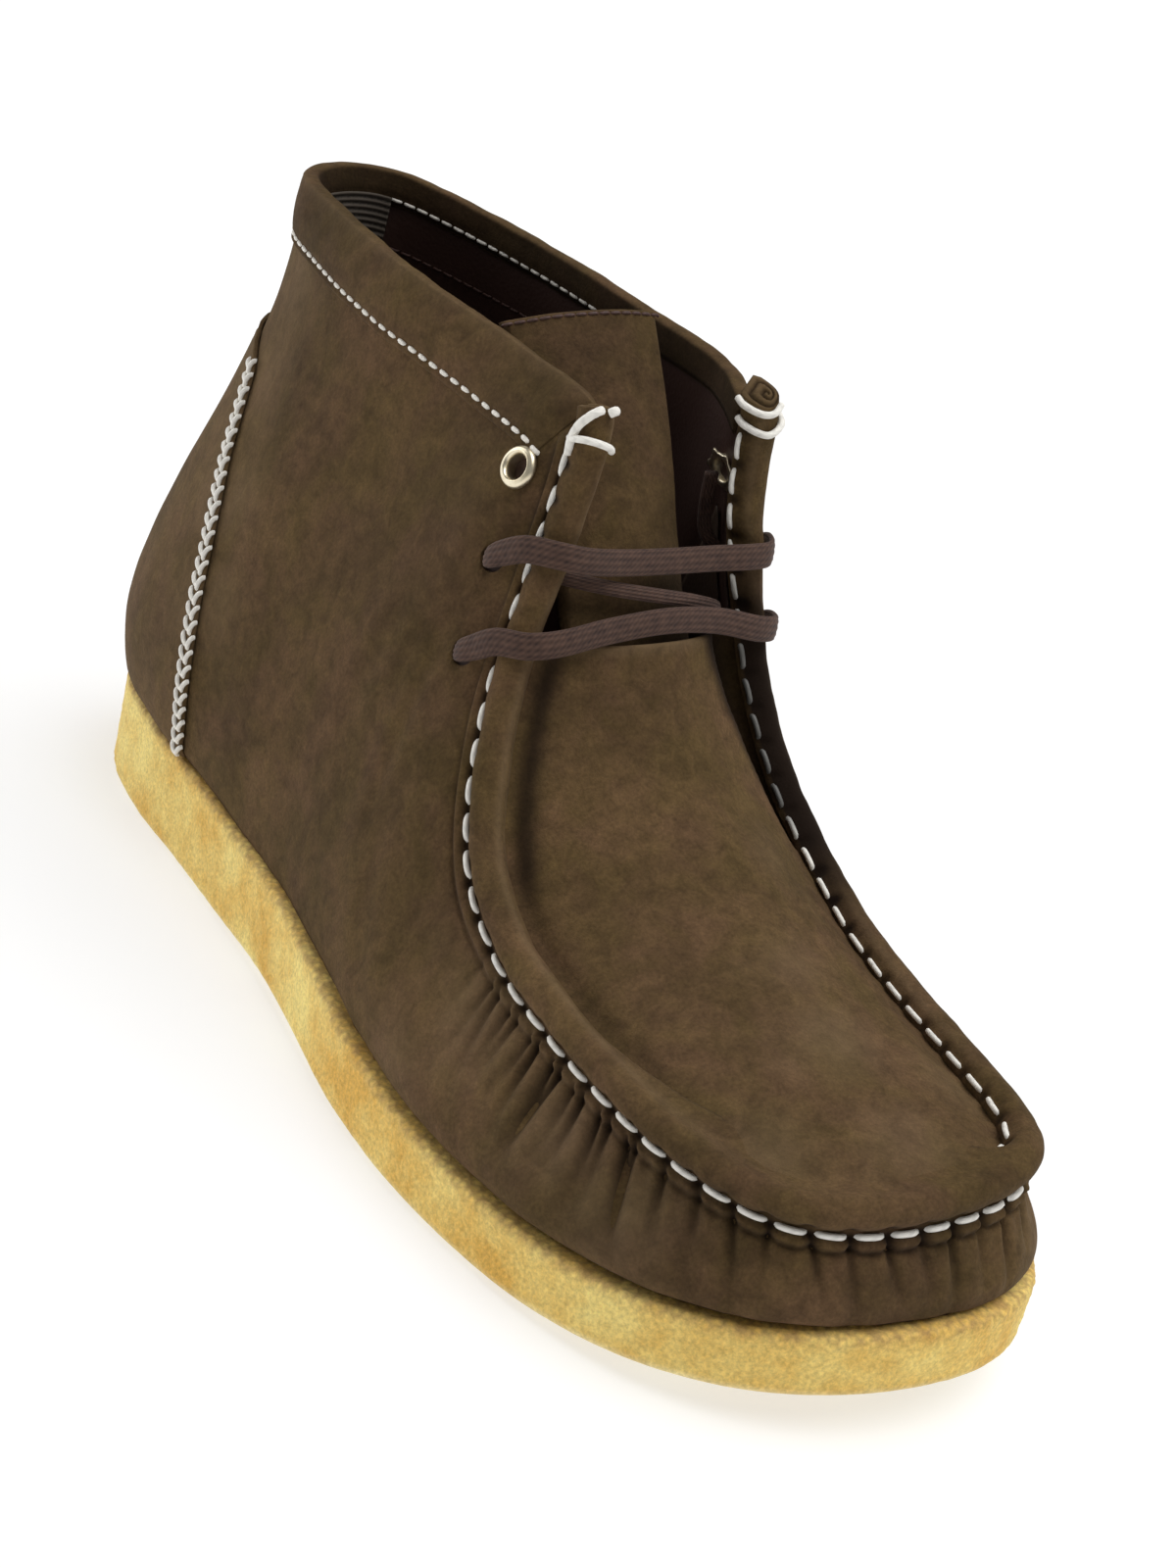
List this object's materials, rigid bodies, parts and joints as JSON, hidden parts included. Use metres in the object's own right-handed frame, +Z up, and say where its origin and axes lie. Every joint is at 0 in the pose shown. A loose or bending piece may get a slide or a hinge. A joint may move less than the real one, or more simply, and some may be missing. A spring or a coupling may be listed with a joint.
{
  "type": "moccasin boot",
  "caption": "Right-foot moccasin ankle boot with a raised apron seam, collar band, heel counter, tongue, flat lace in eyelets and a crepe wedge sole.",
  "frame": {"origin": "centre of the boot's box, on the plane that heel and forefoot stand on", "axes": "+Z up, the toe points to -Y, the foot's inner side is +X"},
  "size_m": [0.1144, 0.298, 0.155],
  "materials": {
    "nubuck": "matt brushed nubuck, dusty brown, rubbed lighter along edges",
    "crepe": "natural crepe rubber, matt, with a crinkled grain",
    "lining": "smooth dark brown lining leather",
    "lace": "flat woven cotton, dark brown",
    "eyelet": "pale antique brass",
    "stitching": "waxed off-white thread",
    "back_strip": "ribbed grey-brown tape"
  },
  "bodies": {
    "root": {"outsole": "crepe", "insole": "lining", "upper": "nubuck", "tongue": "nubuck", "seam_roll": "nubuck", "collar_band": "nubuck", "heel_counter": "nubuck", "eyelet_lateral": "eyelet", "eyelet_medial": "eyelet", "lace": "lace"}
  },
  "joints": []
}
